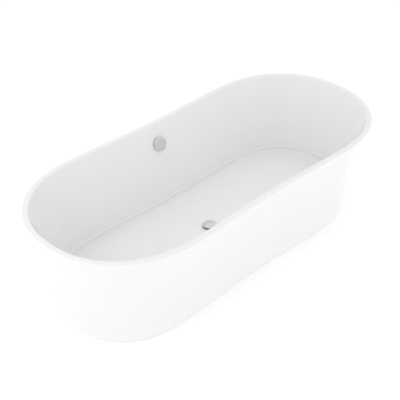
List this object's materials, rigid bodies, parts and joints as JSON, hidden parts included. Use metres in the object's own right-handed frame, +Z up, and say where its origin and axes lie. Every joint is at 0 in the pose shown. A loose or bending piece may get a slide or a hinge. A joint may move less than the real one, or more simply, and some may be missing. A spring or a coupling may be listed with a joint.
{
  "type": "freestanding bathtub",
  "caption": "Double-shell freestanding bathtub with round ends, a flared skirt, central pop-up drain and wall overflow.",
  "frame": {"origin": "on the floor under the middle of the tub, between the four foot pads", "axes": "+X along the tub's length, +Y towards the long wall with the overflow, +Z up"},
  "size_m": [1.8, 0.8016, 0.5],
  "materials": {
    "acrylic": "gloss white sanitary acrylic",
    "chrome": "polished",
    "steel": "zinc plated",
    "rubber": "matt",
    "plastic": "moulded",
    "board": "raw particle board"
  },
  "bodies": {
    "tub": {"basin": "acrylic", "skirt": "acrylic", "rim_bead": "rubber", "base_board": "board", "frame_rail_front": "steel", "frame_rail_back": "steel", "cross_member_left": "steel", "cross_member_mid_left": "steel", "cross_member_mid_right": "steel", "cross_member_right": "steel", "foot_nut_1": "steel", "skirt_bracket_1": "steel", "foot_nut_2": "steel", "skirt_bracket_2": "steel", "foot_nut_3": "steel", "skirt_bracket_3": "steel", "foot_nut_4": "steel", "skirt_bracket_4": "steel", "waste_flange": "chrome", "waste_gasket_upper": "rubber", "waste_gasket_lower": "rubber", "waste_nut": "steel", "waste_body": "plastic", "waste_cartridge": "plastic", "waste_spring": "steel", "overflow_cover": "chrome", "overflow_collar": "chrome", "overflow_gasket": "rubber", "overflow_body": "plastic", "overflow_pipe": "plastic"},
    "plug": {"waste_cap": "chrome", "waste_seal": "rubber", "waste_stem": "chrome"},
    "foot_1": {"foot_pad_1": "rubber"},
    "stud_1": {"foot_stud_1": "steel"},
    "foot_2": {"foot_pad_2": "rubber"},
    "stud_2": {"foot_stud_2": "steel"},
    "foot_3": {"foot_pad_3": "rubber"},
    "stud_3": {"foot_stud_3": "steel"},
    "foot_4": {"foot_pad_4": "rubber"},
    "stud_4": {"foot_stud_4": "steel"}
  },
  "joints": [
    {"name": "plug_press", "type": "slide", "parent": "tub", "child": "plug", "axis": [0, 0, 1], "range_m": [-0.0055, 0], "stiffness_N_per_m": 400, "springref_m": 0.0005, "deforming": ["waste_spring"]},
    {"name": "foot_height_1", "type": "slide", "parent": "tub", "child": "foot_1", "axis": [0, 0, -1], "range_m": [0, 0.015]},
    {"name": "stud_turn_1", "type": "hinge", "parent": "foot_1", "child": "stud_1", "pos_m": [-0.53, -0.2, 0.05], "axis": [0, 0, 1], "range_deg": [0, 3600]},
    {"name": "foot_height_2", "type": "slide", "parent": "tub", "child": "foot_2", "axis": [0, 0, -1], "range_m": [0, 0.015]},
    {"name": "stud_turn_2", "type": "hinge", "parent": "foot_2", "child": "stud_2", "pos_m": [0.53, -0.2, 0.05], "axis": [0, 0, 1], "range_deg": [0, 3600]},
    {"name": "foot_height_3", "type": "slide", "parent": "tub", "child": "foot_3", "axis": [0, 0, -1], "range_m": [0, 0.015]},
    {"name": "stud_turn_3", "type": "hinge", "parent": "foot_3", "child": "stud_3", "pos_m": [0.53, 0.2, 0.05], "axis": [0, 0, 1], "range_deg": [0, 3600]},
    {"name": "foot_height_4", "type": "slide", "parent": "tub", "child": "foot_4", "axis": [0, 0, -1], "range_m": [0, 0.015]},
    {"name": "stud_turn_4", "type": "hinge", "parent": "foot_4", "child": "stud_4", "pos_m": [-0.53, 0.2, 0.05], "axis": [0, 0, 1], "range_deg": [0, 3600]}
  ],
  "couplings": [
    {"joint": "stud_turn_1", "follows": "foot_height_1", "rad_per_m": 4188.8},
    {"joint": "stud_turn_2", "follows": "foot_height_2", "rad_per_m": 4188.8},
    {"joint": "stud_turn_3", "follows": "foot_height_3", "rad_per_m": 4188.8},
    {"joint": "stud_turn_4", "follows": "foot_height_4", "rad_per_m": 4188.8}
  ]
}
